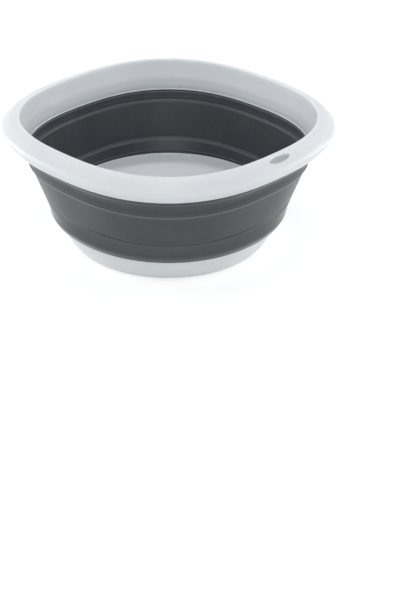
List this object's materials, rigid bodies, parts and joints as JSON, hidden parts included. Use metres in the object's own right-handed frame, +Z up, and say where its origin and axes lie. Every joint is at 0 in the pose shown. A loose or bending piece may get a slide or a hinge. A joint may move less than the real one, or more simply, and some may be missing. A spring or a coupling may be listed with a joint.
{
  "type": "collapsible washbasin",
  "caption": "Collapsible washbasin: rigid rounded-square rim with a curled flange and hanging slot, soft folding wall, and a round rigid base tray. The rim slides down over the base to fold flat.",
  "frame": {"origin": "centre of the foot ring's underside, on the surface that the open basin stands on", "axes": "+Z up along the basin's axis, towards the open mouth; +X and +Y square to the rim's straight sides, with the hanging slot on the +X side"},
  "size_m": [0.36, 0.36, 0.154],
  "materials": {
    "base_plastic": "satin injection-moulded polypropylene, pale cool grey-white",
    "wall_rubber": "matt dark grey thermoplastic rubber with a faint silvery sheen",
    "rim_plastic": "satin injection-moulded polypropylene, pale cool grey-white"
  },
  "bodies": {
    "base": {"base_tray": "base_plastic", "lower_wall_band": "wall_rubber", "lower_fold_web": "wall_rubber"},
    "middle_band": {"middle_wall_band": "wall_rubber"},
    "rim": {"upper_fold_web": "wall_rubber", "upper_wall_band": "wall_rubber", "rim_frame": "rim_plastic"}
  },
  "joints": [
    {"name": "collapse", "type": "slide", "parent": "base", "child": "rim", "axis": [0, 0, -1], "range_m": [0, 0.082]},
    {"name": "middle_band_travel", "type": "slide", "parent": "base", "child": "middle_band", "axis": [0, 0, -1], "range_m": [0, 0.041]}
  ],
  "couplings": [
    {"joint": "middle_band_travel", "follows": "collapse", "ratio": 0.5}
  ]
}
